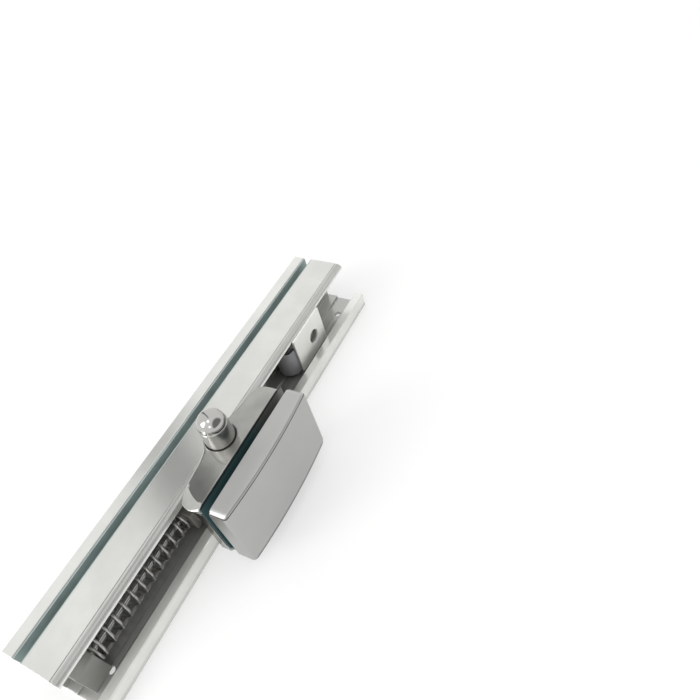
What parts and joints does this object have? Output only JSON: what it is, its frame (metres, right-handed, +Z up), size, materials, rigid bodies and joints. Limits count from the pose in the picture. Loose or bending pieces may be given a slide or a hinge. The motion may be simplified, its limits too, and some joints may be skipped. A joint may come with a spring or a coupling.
{
  "type": "sliding glass door closer",
  "caption": "Sprung closer carriage clamped to a sliding glass door, running in a bottom rail with a release knob and a buffered catch block.",
  "frame": {"origin": "centre of the rail's foot, on the surface it is screwed to", "axes": "+X along the rail towards the closed end, +Y from the door glass to the back of the rail, +Z up"},
  "size_m": [0.36, 0.1044, 0.0995],
  "materials": {
    "rail_alu": "satin anodised",
    "strip_alu": "semi-gloss anodised",
    "glazing_rubber": "matt",
    "block_plastic": "moulded",
    "plate_alu": "satin",
    "screw_steel": "turned",
    "pin_steel": "ground",
    "spring_steel": "drawn",
    "body_cast": "satin polished casting",
    "gasket_rubber": "smooth",
    "bush_plastic": "moulded",
    "backing_steel": "pressed",
    "cover_satin": "satin",
    "bush_brass": "turned",
    "ring_rubber": "matt",
    "shoe_plastic": "moulded",
    "knob_chrome": "polished",
    "roller_plastic": "turned",
    "nose_plastic": "moulded"
  },
  "bodies": {
    "rail": {"guide_rail": "rail_alu", "cover_strip": "strip_alu", "glazing_seal": "glazing_rubber", "catch_housing": "block_plastic", "catch_plate": "plate_alu", "catch_screw": "screw_steel", "rod_anchor": "block_plastic", "anchor_screws": "screw_steel", "guide_rod": "pin_steel", "closing_spring": "spring_steel", "buffer_spring": "spring_steel"},
    "carriage": {"carriage_body": "body_cast", "glass_gasket": "gasket_rubber", "clamp_bushes": "bush_plastic", "clamp_plate": "backing_steel", "clamp_screws": "screw_steel", "cover_cap": "cover_satin", "cap_clips": "spring_steel", "plunger_bush": "bush_brass", "knob_ring": "ring_rubber", "guide_shoe": "shoe_plastic", "shoe_screws": "screw_steel", "rod_bush": "bush_plastic", "plunger_spring": "spring_steel"},
    "release": {"release_knob": "knob_chrome", "plunger": "pin_steel", "roller_arm": "backing_steel", "arm_screw": "screw_steel", "roller_axles": "pin_steel", "axle_clips": "spring_steel"},
    "roller_a": {"guide_roller_a": "roller_plastic"},
    "roller_b": {"guide_roller_b": "roller_plastic"},
    "buffer": {"buffer_nose": "nose_plastic", "buffer_stem": "pin_steel", "stem_clip": "spring_steel"}
  },
  "joints": [
    {"name": "carriage_travel", "type": "slide", "parent": "rail", "child": "carriage", "axis": [1, 0, 0], "range_m": [-0.06, 0.0335], "stiffness_N_per_m": 25, "deforming": ["closing_spring"]},
    {"name": "release_press", "type": "slide", "parent": "carriage", "child": "release", "axis": [0, 0, -1], "range_m": [0, 0.006], "stiffness_N_per_m": 800, "springref_m": -0.004, "deforming": ["plunger_spring"]},
    {"name": "roller_a_spin", "type": "hinge", "parent": "release", "child": "roller_a", "pos_m": [-0.0507, -0.0046, 0.0394], "axis": [0, 0, 1], "continuous": true},
    {"name": "roller_b_spin", "type": "hinge", "parent": "release", "child": "roller_b", "pos_m": [0.0093, -0.0046, 0.0394], "axis": [0, 0, 1], "continuous": true},
    {"name": "buffer_press", "type": "slide", "parent": "rail", "child": "buffer", "axis": [1, 0, 0], "range_m": [0, 0.006], "stiffness_N_per_m": 1200, "springref_m": -0.001, "deforming": ["buffer_spring"]}
  ],
  "couplings": [
    {"joint": "roller_a_spin", "follows": "carriage_travel", "rad_per_m": -175.44},
    {"joint": "roller_b_spin", "follows": "carriage_travel", "rad_per_m": -175.44}
  ]
}
